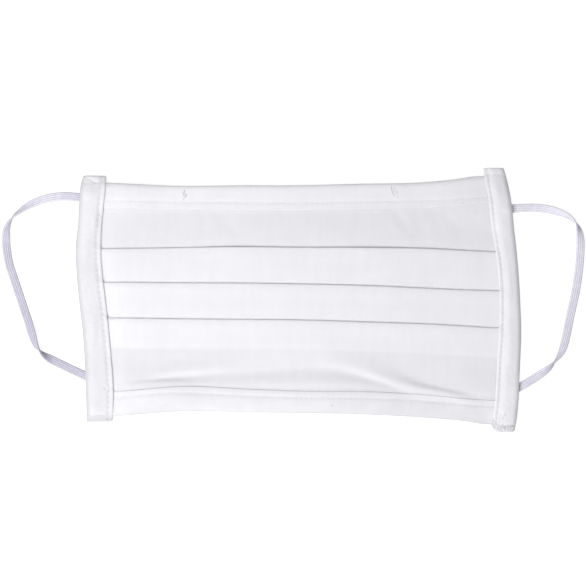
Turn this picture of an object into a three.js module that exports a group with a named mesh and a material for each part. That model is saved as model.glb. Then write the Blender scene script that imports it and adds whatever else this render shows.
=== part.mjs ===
// Pleated cloth face mask, lying face up on a flat surface.
// Millimetres, +Z up. X runs across the face, +Y towards the nose edge.
// The origin is under the middle of the cloth body, on the surface that it lies on.
import * as THREE from 'three';

// Driving dimensions
const CLOTH = 1.0; // wall of every layer of cloth
const LAYER_GAP = 0.2; // slit between two layers folded on one another
const PIECE_GAP = 0.4; // clearance between two pieces
const LAYER_PITCH = CLOTH + LAYER_GAP;
const FOLD_RADIUS = LAYER_PITCH / 2; // bend of the cloth's middle line at a fold
const FOLD_NOSE = FOLD_RADIUS + CLOTH / 2; // from a fold's centre to its outermost point
const PLEAT_DEPTH = 12; // from a pleat's front fold to its hidden back fold
const PLEAT_DROP = 4.4; // length over which a strip comes down behind a hidden fold
const PANEL_HALF = 86; // half the panel's nominal width
const PANEL_INSET = 3.2; // the panel's side edge, inside the casing's outer edge
const LIFT_REACH = 18; // length over which the panel comes down beside a casing
const BAND_WIDTH = 3.3; // flat ear elastic
const BAND_THICKNESS = 0.9;
const BAND_CLEARANCE = 0.05; // keeps a turning band's edge just off the surface
const BAND_RISE = 1.38; // how far a casing arches up over a band's sewn end
const BAND_RISE_REACH = 15; // half length of that arch
const CASING_ROUND = 0.8; // depth of a casing's outer fold for its half height

// How finely the curved walls are cut into facets
const PANEL_STATIONS = 20;
const FOLD_STEPS = 4;
const STRIP_STEPS = 6;
const DROP_STEPS = 4;
const ROW_STEPS = 2;
const CASING_LEAF_STEPS = 2;
const CASING_FOLD_STEPS = 6;
const BAND_STATIONS = 46;

// The panel's edges and folds, one row for each place across the mask
const PANEL_LINES = [
  { x: -86, top: 47.4, topHem: 37.0, pleat1: 20.4, pleat2: 7.2, pleat3: -6.8, lowHem: -37.2, bottom: -47.0 },
  { x: -72, top: 46.9, topHem: 36.9, pleat1: 20.4, pleat2: 7.2, pleat3: -6.8, lowHem: -36.4, bottom: -46.0 },
  { x: -50, top: 46.0, topHem: 36.6, pleat1: 20.8, pleat2: 7.0, pleat3: -7.2, lowHem: -34.8, bottom: -44.6 },
  { x: -22, top: 46.0, topHem: 36.6, pleat1: 21.4, pleat2: 6.9, pleat3: -7.6, lowHem: -35.6, bottom: -44.9 },
  { x: 0, top: 46.0, topHem: 36.6, pleat1: 21.2, pleat2: 6.6, pleat3: -7.8, lowHem: -36.4, bottom: -45.2 },
  { x: 27, top: 46.6, topHem: 36.9, pleat1: 21.1, pleat2: 6.0, pleat3: -8.6, lowHem: -36.6, bottom: -45.8 },
  { x: 56, top: 47.9, topHem: 37.7, pleat1: 20.2, pleat2: 5.0, pleat3: -9.9, lowHem: -38.0, bottom: -47.4 },
  { x: 68, top: 48.4, topHem: 38.1, pleat1: 19.8, pleat2: 4.4, pleat3: -10.5, lowHem: -39.2, bottom: -48.4 },
  { x: 76, top: 49.4, topHem: 38.6, pleat1: 19.6, pleat2: 4.0, pleat3: -10.8, lowHem: -39.9, bottom: -49.6 },
  { x: 86, top: 49.7, topHem: 38.8, pleat1: 19.4, pleat2: 3.8, pleat3: -11.0, lowHem: -40.2, bottom: -49.8 },
];

// The side casings' edges, with how many layers of the panel each place wraps
const LEFT_CASING = [
  { y: -48.6, outer: -84.8, inner: -74.8, layers: 0 },
  { y: -47.4, outer: -84.8, inner: -74.7, layers: 2 },
  { y: -38, outer: -84.8, inner: -74.3, layers: 2 },
  { y: -30, outer: -85.2, inner: -74.6, layers: 1.7 },
  { y: -21, outer: -85.7, inner: -75.5, layers: 3 },
  { y: -12, outer: -86.4, inner: -76.3, layers: 3 },
  { y: 0, outer: -87.9, inner: -77.6, layers: 3 },
  { y: 10, outer: -88.7, inner: -78.9, layers: 3 },
  { y: 21.5, outer: -89.2, inner: -79.6, layers: 3 },
  { y: 30, outer: -88.3, inner: -79.2, layers: 1.7 },
  { y: 38, outer: -87.8, inner: -78.3, layers: 2 },
  { y: 47.7, outer: -86.9, inner: -77.3, layers: 2 },
  { y: 49.6, outer: -86.4, inner: -77.2, layers: 0 },
];
const RIGHT_CASING = [
  { y: -52.7, outer: 86.2, inner: 77.0, layers: 0 },
  { y: -50.4, outer: 86.6, inner: 77.2, layers: 2 },
  { y: -40.5, outer: 87.7, inner: 78.3, layers: 2 },
  { y: -33, outer: 88.3, inner: 78.8, layers: 1.7 },
  { y: -25, outer: 88.7, inner: 79.2, layers: 3 },
  { y: -14, outer: 89.2, inner: 79.9, layers: 3 },
  { y: 0, outer: 88.8, inner: 80.1, layers: 3 },
  { y: 13, outer: 88.0, inner: 79.4, layers: 3 },
  { y: 20.5, outer: 87.3, inner: 78.4, layers: 3 },
  { y: 30, outer: 86.2, inner: 76.8, layers: 1.7 },
  { y: 40, outer: 85.0, inner: 75.7, layers: 2 },
  { y: 50.1, outer: 82.7, inner: 74.0, layers: 2 },
  { y: 52.7, outer: 81.8, inner: 73.6, layers: 0 },
];

// Where the bands are sewn under each casing
const LEFT_BAND_ENDS = [40.8, -32.0];
const RIGHT_BAND_ENDS = [36.5, -36.0];

// Creases of the cloth: oval swellings, their long way turned by so many degrees
const CREASES = [
  { x: 33, y: -30.5, along: 24, across: 5.0, turn: -17, rise: 1.3 },
  { x: 50, y: -37.5, along: 12, across: 4.5, turn: -10, rise: 0.9 },
  { x: -36, y: -25.5, along: 15, across: 5.0, turn: 38, rise: 0.9 },
  { x: -4, y: -25.5, along: 36, across: 6.5, turn: 0, rise: 0.7 },
  { x: -22, y: 17.5, along: 14, across: 6.0, turn: 0, rise: 0.5 },
  { x: 27, y: 17.0, along: 14, across: 6.0, turn: -3, rise: 0.5 },
];

// Middle line of each ear loop as it lies, with the band's turn about it in degrees
const LEFT_ROUTE = [
  { x: -79.0, y: 40.6, turn: 0 },
  { x: -83.4, y: 40.8, turn: 0 },
  { x: -87.6, y: 41.0, turn: 0 },
  { x: -92.0, y: 41.4, turn: 0 },
  { x: -96.4, y: 41.3, turn: 2 },
  { x: -100.6, y: 40.6, turn: 6 },
  { x: -104.4, y: 39.4, turn: 14 },
  { x: -107.8, y: 37.9, turn: 28 },
  { x: -110.8, y: 36.0, turn: 48 },
  { x: -113.6, y: 33.8, turn: 74 },
  { x: -115.6, y: 31.2, turn: 106 },
  { x: -116.8, y: 28.4, turn: 138 },
  { x: -117.1, y: 25.2, turn: 164 },
  { x: -117.0, y: 21.6, turn: 177 },
  { x: -116.5, y: 17.6, turn: 180 },
  { x: -115.6, y: 13.4, turn: 180 },
  { x: -114.2, y: 9.2, turn: 180 },
  { x: -112.0, y: 2.6, turn: 180 },
  { x: -109.8, y: -4.0, turn: 180 },
  { x: -108.0, y: -9.4, turn: 181 },
  { x: -106.6, y: -14.0, turn: 188 },
  { x: -104.9, y: -18.4, turn: 214 },
  { x: -101.9, y: -21.9, turn: 266 },
  { x: -98.6, y: -24.0, turn: 322 },
  { x: -95.0, y: -25.8, turn: 352 },
  { x: -90.2, y: -28.1, turn: 360 },
  { x: -84.9, y: -30.5, turn: 360 },
  { x: -81.0, y: -31.9, turn: 360 },
  { x: -77.2, y: -32.8, turn: 360 },
];
const RIGHT_ROUTE = [
  { x: 77.0, y: 36.4, turn: 0 },
  { x: 81.4, y: 36.5, turn: 0 },
  { x: 85.8, y: 36.6, turn: 0 },
  { x: 90.2, y: 36.8, turn: 0 },
  { x: 94.8, y: 36.8, turn: 2 },
  { x: 99.2, y: 36.3, turn: 8 },
  { x: 102.8, y: 35.4, turn: 20 },
  { x: 105.8, y: 34.3, turn: 38 },
  { x: 108.6, y: 32.7, turn: 62 },
  { x: 110.8, y: 30.4, turn: 92 },
  { x: 112.0, y: 27.4, turn: 126 },
  { x: 112.5, y: 24.0, turn: 156 },
  { x: 112.5, y: 20.0, turn: 174 },
  { x: 112.2, y: 15.0, turn: 180 },
  { x: 111.5, y: 9.0, turn: 180 },
  { x: 110.6, y: 3.3, turn: 180 },
  { x: 109.5, y: -1.8, turn: 180 },
  { x: 108.4, y: -6.7, turn: 180 },
  { x: 107.4, y: -11.6, turn: 182 },
  { x: 106.4, y: -16.2, turn: 192 },
  { x: 104.8, y: -20.8, turn: 222 },
  { x: 102.2, y: -24.6, turn: 272 },
  { x: 99.2, y: -27.7, turn: 324 },
  { x: 95.8, y: -30.2, turn: 352 },
  { x: 92.2, y: -32.5, turn: 360 },
  { x: 88.4, y: -34.7, turn: 360 },
  { x: 84.4, y: -36.2, turn: 360 },
  { x: 80.4, y: -36.9, turn: 360 },
];

const WHITE_COTTON = { color: 0xebeaf0, roughness: 0.92, metalness: 0 };
const CASING_COTTON = { color: 0xf0eff4, roughness: 0.94, metalness: 0 };
const ELASTIC = { color: 0xe3e0ee, roughness: 0.8, metalness: 0 };

const { clamp, lerp, smoothstep, degToRad } = THREE.MathUtils;
const OUT = 1;
const BACK = -1;

/** Slope of a table's column from row i to the next. */
function slopeAfter(rows, key, column, i) {
  return (rows[i + 1][column] - rows[i][column]) / (rows[i + 1][key] - rows[i][key]);
}

/** Slope of the smooth curve at row i: level at a turning point, so it never overshoots. */
function slopeAt(rows, key, column, i) {
  const before = slopeAfter(rows, key, column, Math.max(i - 1, 0));
  const after = slopeAfter(rows, key, column, Math.min(i, rows.length - 2));
  return before * after <= 0 ? 0 : (2 * before * after) / (before + after);
}

/** Value of a column on the smooth curve through a table's rows, where the key is at a place. */
function read(rows, key, column, place) {
  const at = clamp(place, rows[0][key], rows[rows.length - 1][key]);
  let i = 0;
  while (i < rows.length - 2 && at > rows[i + 1][key]) {
    i += 1;
  }
  const span = rows[i + 1][key] - rows[i][key];
  const t = (at - rows[i][key]) / span;
  const weight = t * t * (3 - 2 * t);
  const leaving = slopeAt(rows, key, column, i) * span * t * (1 - t) * (1 - t);
  const arriving = slopeAt(rows, key, column, i + 1) * span * t * t * (1 - t);
  return lerp(rows[i][column], rows[i + 1][column], weight) + leaving - arriving;
}

/** Height of a casing's underside: it arches over each band end sewn beneath it. */
function undersideAt(bandEnds, y) {
  const arches = bandEnds.map((end) => {
    const angle = (Math.PI / 2) * clamp((y - end) / BAND_RISE_REACH, -1, 1);
    return BAND_RISE * Math.cos(angle) ** 2;
  });
  return Math.max(...arches);
}

/** Height of the panel's underside where a casing holds it, falling to nothing beside the casing. */
function liftBy(rows, bandEnds, side, x, y) {
  const inward = side * (read(rows, 'y', 'inner', y) - x);
  const held = 1 - smoothstep(inward, CLOTH, LIFT_REACH);
  return held * (undersideAt(bandEnds, y) + CLOTH + PIECE_GAP);
}

/** Height of one oval crease at a place: nothing outside its outline. */
function creaseAt(crease, x, y) {
  const turn = degToRad(crease.turn);
  const along = (x - crease.x) * Math.cos(turn) + (y - crease.y) * Math.sin(turn);
  const across = (y - crease.y) * Math.cos(turn) - (x - crease.x) * Math.sin(turn);
  const out = (along / crease.along) ** 2 + (across / crease.across) ** 2;
  return crease.rise * Math.max(0, 1 - out) ** 2;
}

/** Height of the panel's underside at a place. */
function panelFloor(x, y) {
  const left = liftBy(LEFT_CASING, LEFT_BAND_ENDS, -1, x, y);
  const right = liftBy(RIGHT_CASING, RIGHT_BAND_ENDS, 1, x, y);
  const creases = CREASES.reduce((sum, crease) => sum + creaseAt(crease, x, y), 0);
  return left + right + creases;
}

/** Middle height of a layer in the folded stack, counted up from the underside. */
function layerHeight(layer) {
  return CLOTH / 2 + layer * LAYER_PITCH;
}

/** Points of a half round fold from one layer up or down to the next; its nose is at y. */
function foldPoints(y, layer, nextLayer, facing) {
  const centreY = y - facing * FOLD_NOSE;
  const centreZ = (layerHeight(layer) + layerHeight(nextLayer)) / 2;
  const climb = Math.sign(nextLayer - layer);
  return Array.from({ length: FOLD_STEPS + 1 }, (_, i) => {
    const angle = Math.PI * (i / FOLD_STEPS - 0.5);
    return [
      centreY + facing * FOLD_RADIUS * Math.cos(angle),
      centreZ + climb * FOLD_RADIUS * Math.sin(angle),
    ];
  });
}

/** Points strictly between two places on one level layer. */
function runPoints(fromY, toY, layer, steps) {
  return Array.from({ length: steps - 1 }, (_, i) => [
    lerp(fromY, toY, (i + 1) / steps),
    layerHeight(layer),
  ]);
}

/** Points where a strip comes down smoothly from the top of a pleat to the base layer. */
function dropPoints(fromY) {
  return Array.from({ length: DROP_STEPS + 1 }, (_, i) => {
    const t = i / DROP_STEPS;
    return [fromY - PLEAT_DROP * t, lerp(layerHeight(2), layerHeight(0), smoothstep(t, 0, 1))];
  });
}

/** One knife pleat: under to the hidden fold, back to the front fold, over it and down. */
function pleatPoints(front) {
  const hidden = front - PLEAT_DEPTH;
  const dropStart = hidden + FOLD_NOSE;
  return [
    ...foldPoints(hidden, 0, 1, BACK),
    ...foldPoints(front, 1, 2, OUT),
    ...runPoints(front - FOLD_NOSE, dropStart, 2, 2),
    ...dropPoints(dropStart),
  ];
}

/** Middle line of the folded cloth in the Y-Z plane at a place across the mask. */
function clothLine(x) {
  const at = (column) => read(PANEL_LINES, 'x', column, x);
  const lowest = at('pleat3') - PLEAT_DEPTH + FOLD_NOSE - PLEAT_DROP;
  return [
    [at('topHem'), layerHeight(1)],
    ...runPoints(at('topHem'), at('top') - FOLD_NOSE, 1, 2),
    ...foldPoints(at('top'), 1, 0, OUT),
    ...runPoints(at('top') - FOLD_NOSE, at('pleat1') - PLEAT_DEPTH + FOLD_NOSE, 0, STRIP_STEPS),
    ...pleatPoints(at('pleat1')),
    ...pleatPoints(at('pleat2')),
    ...pleatPoints(at('pleat3')),
    ...runPoints(lowest, at('bottom') + FOLD_NOSE, 0, STRIP_STEPS),
    ...foldPoints(at('bottom'), 0, 1, BACK),
    ...runPoints(at('bottom') + FOLD_NOSE, at('lowHem'), 1, 2),
    [at('lowHem'), layerHeight(1)],
  ];
}

/** The two faces of a wall that follows a flat middle line, half a thickness to each side. */
function wallFaces(line, thickness) {
  return [1, -1].map((side) =>
    line.map(([a, b], i) => {
      const before = line[Math.max(i - 1, 0)];
      const after = line[Math.min(i + 1, line.length - 1)];
      const length = Math.hypot(after[0] - before[0], after[1] - before[1]);
      const reach = (side * thickness) / 2 / length;
      return [a - reach * (after[1] - before[1]), b + reach * (after[0] - before[0])];
    }),
  );
}

/** Splits one cell of a grid of points into two triangles. */
function addCell(triangles, a, b, c, d) {
  triangles.push(a, b, c, a, c, d);
}

/** Closed solid between two grids of points of the same size, the front one facing out. */
function solidBetween(front, back) {
  const rows = front.length;
  const columns = front[0].length;
  const index = (face, i, j) => (face * rows + i) * columns + j;
  const triangles = [];
  for (let i = 0; i < rows - 1; i += 1) {
    for (let j = 0; j < columns - 1; j += 1) {
      addCell(triangles, index(0, i, j), index(0, i + 1, j), index(0, i + 1, j + 1), index(0, i, j + 1));
      addCell(triangles, index(1, i, j), index(1, i, j + 1), index(1, i + 1, j + 1), index(1, i + 1, j));
    }
    addCell(triangles, index(0, i, 0), index(1, i, 0), index(1, i + 1, 0), index(0, i + 1, 0));
    const last = columns - 1;
    addCell(triangles, index(0, i, last), index(0, i + 1, last), index(1, i + 1, last), index(1, i, last));
  }
  for (let j = 0; j < columns - 1; j += 1) {
    addCell(triangles, index(0, 0, j), index(0, 0, j + 1), index(1, 0, j + 1), index(1, 0, j));
    const last = rows - 1;
    addCell(triangles, index(0, last, j), index(1, last, j), index(1, last, j + 1), index(0, last, j + 1));
  }
  const geometry = new THREE.BufferGeometry();
  geometry.setFromPoints([...front.flat(), ...back.flat()]);
  geometry.setIndex(triangles);
  geometry.computeVertexNormals();
  return geometry;
}

/** Place across the mask of the panel's station i; the stations crowd towards both sides. */
function stationAcross(i) {
  const t = (2 * i) / PANEL_STATIONS - 1;
  return 1.3 * t - 0.3 * t ** 3;
}

/** The pleated panel: one cloth with a turned hem on each long edge and three knife pleats. */
function panelGeometry() {
  const stations = Array.from({ length: PANEL_STATIONS + 1 }, (_, i) => stationAcross(i));
  const place = (across, [y, z]) => {
    const left = read(LEFT_CASING, 'y', 'outer', y) + PANEL_INSET;
    const right = read(RIGHT_CASING, 'y', 'outer', y) - PANEL_INSET;
    const x = lerp(left, right, (across + 1) / 2);
    return new THREE.Vector3(x, y, z + panelFloor(x, y));
  };
  const faces = stations.map((across) => wallFaces(clothLine(across * PANEL_HALF), CLOTH));
  const grid = (face) => stations.map((across, i) => faces[i][face].map((point) => place(across, point)));
  return solidBetween(grid(0), grid(1));
}

/** Middle line of a casing's wall in the X-Z plane: front leaf, round outer fold, back leaf. */
function casingLine(row, side, underside) {
  const wrapped = row.layers * LAYER_PITCH;
  const halfHeight = (wrapped + 2 * PIECE_GAP + CLOTH) / 2;
  const depth = CASING_ROUND * halfHeight;
  const middle = underside + CLOTH / 2 + halfHeight;
  const foldX = row.outer - side * (CLOTH / 2 + depth);
  const fold = Array.from({ length: CASING_FOLD_STEPS + 1 }, (_, i) => {
    const angle = Math.PI * (0.5 - i / CASING_FOLD_STEPS);
    return [foldX + side * depth * Math.cos(angle), middle + halfHeight * Math.sin(angle)];
  });
  const leaf = (z) => Array.from({ length: CASING_LEAF_STEPS }, (_, i) => [
    lerp(row.inner, foldX, i / CASING_LEAF_STEPS),
    z,
  ]);
  return [...leaf(middle + halfHeight), ...fold, ...leaf(middle - halfHeight).reverse()];
}

/** Places along a casing: every row of its table and the steps between two rows. */
function casingStations(rows) {
  const between = rows.slice(1).flatMap((row, i) =>
    Array.from({ length: ROW_STEPS }, (_, step) => lerp(rows[i].y, row.y, (step + 1) / ROW_STEPS)));
  return [rows[0].y, ...between];
}

/** A side casing: a strip of cloth folded round the panel's side edge. */
function casingGeometry(rows, bandEnds, side) {
  const stations = casingStations(rows);
  const faces = stations.map((y) => {
    const row = {
      outer: read(rows, 'y', 'outer', y),
      inner: read(rows, 'y', 'inner', y),
      layers: read(rows, 'y', 'layers', y),
    };
    return wallFaces(casingLine(row, side, undersideAt(bandEnds, y)), CLOTH);
  });
  const grid = (face) => stations.map((y, i) => faces[i][face].map(([x, z]) => new THREE.Vector3(x, y, z)));
  return solidBetween(grid(1), grid(0));
}

/** Height of the band's middle over the surface, when it is turned about its length and touches it. */
function bandHeight(turn) {
  const upright = BAND_WIDTH * Math.abs(Math.sin(turn)) + BAND_THICKNESS * Math.abs(Math.cos(turn));
  return BAND_CLEARANCE + upright / 2;
}

/** An ear loop: flat elastic with slim edges, carried along its route as it turns over. */
function bandGeometry(route) {
  const points = route.map(({ x, y, turn }) => new THREE.Vector3(x, y, bandHeight(degToRad(turn))));
  const curve = new THREE.CatmullRomCurve3(points, false, 'centripetal');
  const turns = route.map(({ turn }, i) => ({ knot: i / (route.length - 1), turn: degToRad(turn) }));
  const section = [
    { across: -1 / 2, half: 1 / 4 },
    { across: -1 / 3, half: 1 / 2 },
    { across: 1 / 3, half: 1 / 2 },
    { across: 1 / 2, half: 1 / 4 },
  ];
  const grid = (facing) => Array.from({ length: BAND_STATIONS + 1 }, (_, i) => {
    const knot = i / BAND_STATIONS;
    const along = curve.getTangent(knot);
    const level = new THREE.Vector3(-along.y, along.x, 0).normalize();
    const turn = read(turns, 'knot', 'turn', knot);
    const across = level.clone().applyAxisAngle(along, turn);
    const upright = along.clone().cross(across);
    return section.map((corner) => curve.getPoint(knot)
      .addScaledVector(across, corner.across * BAND_WIDTH)
      .addScaledVector(upright, facing * corner.half * BAND_THICKNESS));
  });
  return solidBetween(grid(1), grid(-1));
}

/** A named piece of the mask with its own finish. */
function piece(name, geometry, finish) {
  const mesh = new THREE.Mesh(geometry, new THREE.MeshStandardMaterial(finish));
  mesh.name = name;
  return mesh;
}

const mask = new THREE.Group();
mask.add(piece('pleated_panel', panelGeometry(), WHITE_COTTON));
mask.add(piece('casing_left', casingGeometry(LEFT_CASING, LEFT_BAND_ENDS, -1), CASING_COTTON));
mask.add(piece('casing_right', casingGeometry(RIGHT_CASING, RIGHT_BAND_ENDS, 1), CASING_COTTON));
mask.add(piece('ear_loop_left', bandGeometry(LEFT_ROUTE), ELASTIC));
mask.add(piece('ear_loop_right', bandGeometry(RIGHT_ROUTE), ELASTIC));

export default mask;
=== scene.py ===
import bpy
import numpy as np
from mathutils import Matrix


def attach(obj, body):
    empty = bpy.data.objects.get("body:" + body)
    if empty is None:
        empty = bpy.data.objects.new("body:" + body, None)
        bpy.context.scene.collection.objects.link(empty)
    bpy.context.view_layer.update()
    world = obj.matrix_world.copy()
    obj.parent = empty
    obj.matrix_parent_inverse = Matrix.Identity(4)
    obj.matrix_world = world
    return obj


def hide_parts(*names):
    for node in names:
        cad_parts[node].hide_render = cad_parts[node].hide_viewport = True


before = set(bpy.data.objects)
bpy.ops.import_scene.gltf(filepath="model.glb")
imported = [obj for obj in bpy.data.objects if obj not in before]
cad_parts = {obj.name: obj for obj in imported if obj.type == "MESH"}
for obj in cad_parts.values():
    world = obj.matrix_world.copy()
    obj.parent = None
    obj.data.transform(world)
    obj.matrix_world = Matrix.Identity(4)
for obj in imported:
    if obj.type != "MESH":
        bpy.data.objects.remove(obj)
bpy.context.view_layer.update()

MM = 0.001

# Camera
# A long lens straight above the mask, with the nose edge up and room for both ear loops. Sizes are
# in metres, and the sensor's in millimetres.
CAMERA_HEIGHT = 1.20
CAMERA_ACROSS = -2.4 * MM
CAMERA_UP = 2.8 * MM
FRAME_WIDTH = 234.4 * MM
SENSOR_WIDTH = 36.0

camera_data = bpy.data.cameras.new("camera")
camera_data.sensor_width = SENSOR_WIDTH
camera_data.lens = SENSOR_WIDTH * CAMERA_HEIGHT / FRAME_WIDTH
camera = bpy.data.objects.new("camera", camera_data)
camera.location = (CAMERA_ACROSS, CAMERA_UP, CAMERA_HEIGHT)
bpy.context.scene.collection.objects.link(camera)
bpy.context.scene.camera = camera

# Ear loops
# Flat woven white elastic, 3.3 mm wide, with ribs along it. Both ends of a loop are sewn under
# one side casing; between them it lies loose and turns over by half a turn at two places.
# Sizes are in millimetres from here on, where nothing else is said.
BAND_WIDTH = 3.3
BAND_THICKNESS = 0.84
BAND_CLEARANCE = 0.06
BAND_RIBS = 4
BAND_RIB_DEPTH = 0.3
BAND_STEP = 0.7
BAND_COLUMNS = 49
STITCH_MARKS = 11.0
# Colours of the elastic: pale, greyed, and the painted shade in the grooves between its ribs
ELASTIC_FRESH = (0.84, 0.825, 0.91, 1)
ELASTIC_GREYED = (0.52, 0.508, 0.60, 1)
ELASTIC_GROOVE_SHADE = (0.26, 0.245, 0.34, 1)

# x and y of the middle line in metres, and the band's turn about it in degrees
LEFT_ROUTE = (
    (-0.0790, 0.0406, 0), (-0.0834, 0.0408, 0), (-0.0876, 0.0410, 0), (-0.0920, 0.0414, 0),
    (-0.0964, 0.0413, 2), (-0.1006, 0.0406, 6), (-0.1044, 0.0394, 14), (-0.1078, 0.0379, 28),
    (-0.1108, 0.0360, 48), (-0.1136, 0.0338, 74), (-0.1156, 0.0312, 106), (-0.1168, 0.0284, 138),
    (-0.1171, 0.0252, 164), (-0.1170, 0.0216, 177), (-0.1165, 0.0176, 180), (-0.1156, 0.0134, 180),
    (-0.1142, 0.0092, 180), (-0.1120, 0.0026, 180), (-0.1098, -0.0040, 180), (-0.1080, -0.0094, 184),
    (-0.1066, -0.0140, 197), (-0.1049, -0.0184, 236), (-0.1019, -0.0219, 302), (-0.0986, -0.0240, 350),
    (-0.0950, -0.0258, 359), (-0.0902, -0.0281, 360), (-0.0849, -0.0305, 360), (-0.0810, -0.0319, 360),
    (-0.0772, -0.0328, 360),
)
RIGHT_ROUTE = (
    (0.0770, 0.0364, 0), (0.0814, 0.0365, 0), (0.0858, 0.0366, 0), (0.0902, 0.0368, 0),
    (0.0948, 0.0368, 2), (0.0992, 0.0363, 10), (0.1028, 0.0354, 26), (0.1058, 0.0343, 46),
    (0.1086, 0.0327, 68), (0.1108, 0.0304, 98), (0.1120, 0.0274, 142), (0.1125, 0.0240, 169),
    (0.1125, 0.0200, 178), (0.1122, 0.0150, 180), (0.1115, 0.0090, 180), (0.1106, 0.0033, 180),
    (0.1095, -0.0018, 180), (0.1084, -0.0067, 180), (0.1074, -0.0116, 182), (0.1064, -0.0162, 192),
    (0.1048, -0.0208, 222), (0.1022, -0.0246, 272), (0.0992, -0.0277, 324), (0.0958, -0.0302, 352),
    (0.0922, -0.0325, 360), (0.0884, -0.0347, 360), (0.0844, -0.0362, 360), (0.0804, -0.0369, 360),
)

# How grey the elastic is along its way, which also deepens the painted shade in its grooves: places in
# millimetres, and shares
GREYING_ALONG_BAND = {
    "left": ((0, 12, 22, 40, 50, 62, 90, 126), (0.70, 0.55, 0.25, 0.35, 0.85, 0.85, 1.00, 0.85)),
    "right": ((0, 12, 22, 40, 50, 62, 90, 119), (0.15, 0.12, 0.08, 0.14, 0.20, 0.25, 0.40, 0.25)),
}


def smooth(knots, values, at):
    """Smooth curve through a column of values. Between two knots it is the cubic whose slope at
    each knot is the mean of the slopes on both sides, weighted by distance; flat past the ends."""
    knots, values = np.asarray(knots, float), np.asarray(values, float)
    slopes = np.gradient(values, knots)
    i = np.clip(np.searchsorted(knots, at) - 1, 0, len(knots) - 2)
    span = knots[i + 1] - knots[i]
    t = np.clip((at - knots[i]) / span, 0, 1)
    level = values[i] * (1 + 2 * t) * (1 - t) ** 2 + values[i + 1] * t * t * (3 - 2 * t)
    return level + span * t * (1 - t) * (slopes[i] * (1 - t) - slopes[i + 1] * t)


def unit(vectors):
    """Each vector divided by its length."""
    return vectors / np.linalg.norm(vectors, axis=-1, keepdims=True)


def add_mesh(name, points, faces, uv, attributes=None):
    """Smooth mesh from points in millimetres, faces as rows of point numbers, one UV pair for each
    point, and named numbers for each point."""
    mesh = bpy.data.meshes.new(name)
    mesh.vertices.add(len(points))
    mesh.vertices.foreach_set("co", (points * MM).ravel())
    corners = np.concatenate([group.ravel() for group in faces]).astype(np.int32)
    sizes = np.concatenate([np.full(len(group), group.shape[1]) for group in faces])
    mesh.loops.add(len(corners))
    mesh.loops.foreach_set("vertex_index", corners)
    mesh.polygons.add(len(sizes))
    starts = np.cumsum(sizes) - sizes
    mesh.polygons.foreach_set("loop_start", starts.astype(np.int32))
    mesh.polygons.foreach_set("loop_total", sizes.astype(np.int32))
    mesh.polygons.foreach_set("use_smooth", np.ones(len(sizes), bool))
    mesh.update(calc_edges=True)
    mesh.uv_layers.new(name="cloth").data.foreach_set("uv", uv[corners].ravel())
    for label, numbers in (attributes or {}).items():
        mesh.attributes.new(label, "FLOAT", "POINT").data.foreach_set("value", numbers.ravel())
    made = bpy.data.objects.new(name, mesh)
    bpy.context.scene.collection.objects.link(made)
    return made


def add_wall(name, front, back, uv, attributes=None):
    """Closed wall between two grids of points of one size (rows, columns, 3): every cell of each
    grid is a face, and strips of faces join the two grids round their four edges."""
    rows, columns = front.shape[:2]
    number = np.arange(rows * columns).reshape(rows, columns)
    far = number + rows * columns

    def cells(a, b, c, d):
        return np.stack([a.ravel(), b.ravel(), c.ravel(), d.ravel()], axis=1)

    faces = [
        cells(number[:-1, :-1], number[1:, :-1], number[1:, 1:], number[:-1, 1:]),
        cells(far[:-1, :-1], far[:-1, 1:], far[1:, 1:], far[1:, :-1]),
        cells(number[:-1, 0], far[:-1, 0], far[1:, 0], number[1:, 0]),
        cells(number[:-1, -1], number[1:, -1], far[1:, -1], far[:-1, -1]),
        cells(number[0, :-1], number[0, 1:], far[0, 1:], far[0, :-1]),
        cells(number[-1, :-1], far[-1, :-1], far[-1, 1:], number[-1, 1:]),
    ]
    points = np.concatenate([front.reshape(-1, 3), back.reshape(-1, 3)])
    doubled = {label: np.concatenate([n.ravel(), n.ravel()]) for label, n in (attributes or {}).items()}
    return add_mesh(name, points, faces, np.tile(uv.reshape(-1, 2), (2, 1)), doubled)


def route_line(route):
    """Points in millimetres and turns in radians at even steps along a route. The middle line's
    height is half of what the turned band measures upright, so that its lower edge stays down."""
    x, y, turn = np.array(route).T * np.array([[1 / MM], [1 / MM], [np.pi / 180]])
    reach = np.concatenate([[0], np.cumsum(np.hypot(np.diff(x), np.diff(y)))])
    at = np.linspace(0, reach[-1], int(reach[-1] / BAND_STEP))
    turns = smooth(reach, turn, at)
    upright = BAND_WIDTH * np.abs(np.sin(turns)) + BAND_THICKNESS * np.abs(np.cos(turns))
    line = np.stack([smooth(reach, x, at), smooth(reach, y, at), BAND_CLEARANCE + upright / 2], axis=1)
    return line, turns, at


def band_faces(route, grey_and_shade):
    """The band's two faces. Across the band each face is half the thickness high, falling to the
    edges as a flat oval, with one shallow groove between every two ribs."""
    line, turns, at = route_line(route)
    along = unit(np.gradient(line, axis=0))
    level = unit(np.stack([-along[:, 1], along[:, 0], np.zeros(len(along))], axis=1))
    across = level * np.cos(turns)[:, None] + np.cross(along, level) * np.sin(turns)[:, None]
    upright = np.cross(along, across)
    place = np.sin(np.linspace(-np.pi / 2, np.pi / 2, BAND_COLUMNS))
    oval = np.sqrt(np.clip(1 - place ** 6, 0.04, 1))
    groove = 1 - np.abs(np.sin(np.pi * BAND_RIBS * (place + 1) / 2))
    half = BAND_THICKNESS / 2 * oval * (1 - BAND_RIB_DEPTH * groove ** 2)
    middle = line[:, None] + across[:, None] * (BAND_WIDTH / 2 * place)[None, :, None]
    rise = upright[:, None] * half[None, :, None]
    uv = np.stack(np.broadcast_arrays(place[None] * BAND_WIDTH / 2, at[:, None]), axis=-1)
    marks = {"groove": np.broadcast_to(groove, uv.shape[:2]),
             "band_greying": np.broadcast_to(smooth(*grey_and_shade, at)[:, None], uv.shape[:2])}
    return line, middle + rise, middle - rise, uv, marks


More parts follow.
